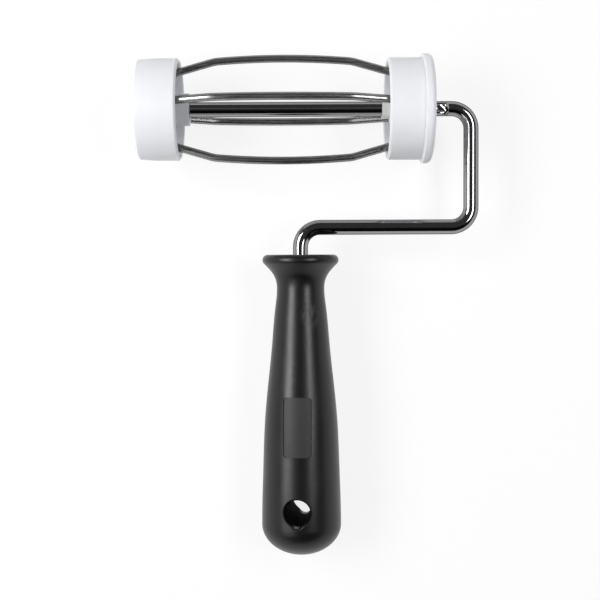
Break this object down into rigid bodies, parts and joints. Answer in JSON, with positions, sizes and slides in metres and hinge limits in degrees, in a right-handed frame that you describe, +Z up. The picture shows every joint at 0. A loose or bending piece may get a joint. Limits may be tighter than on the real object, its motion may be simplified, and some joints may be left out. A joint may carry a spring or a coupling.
{
  "type": "hand roller frame",
  "caption": "Hand roller frame: bowed wires between flanged and plain end caps spin on a bent rod axle, with a moulded handle. Takes a slip-on sleeve for inking or gluing.",
  "frame": {"origin": "bottom centre of the bounding box, on the surface that the tool lies on", "axes": "+X along the axle, from the plain cap towards the flanged cap and the riser; +Y along the handle, from its tip towards the cage; +Z up, out of the handle's front"},
  "size_m": [0.1272, 0.188, 0.0415],
  "materials": {
    "handle_plastic": "black moulded polypropylene with a low sheen",
    "plated_rod": "bright nickel-chrome plate on drawn steel rod",
    "zinc_steel": "zinc-plated steel",
    "spring_steel": "oiled spring steel",
    "drawn_wire": "dark drawn spring wire",
    "cap_plastic": "white moulded polypropylene, satin",
    "bearing_nylon": "natural nylon"
  },
  "bodies": {
    "frame": {"handle": "handle_plastic", "frame_rod": "plated_rod", "axle_washer": "zinc_steel", "push_nut": "spring_steel"},
    "cage": {"outer_end_cap": "cap_plastic", "inner_end_cap": "cap_plastic", "outer_bearing": "bearing_nylon", "inner_bearing": "bearing_nylon", "hub_plug": "cap_plastic", "cage_wire_1": "drawn_wire", "cage_wire_2": "drawn_wire", "cage_wire_3": "drawn_wire", "cage_wire_4": "drawn_wire"}
  },
  "joints": [
    {"name": "cage_spin", "type": "hinge", "parent": "frame", "child": "cage", "pos_m": [-0.0094, 0.07327, 0.02075], "axis": [1, 0, 0], "continuous": true}
  ]
}
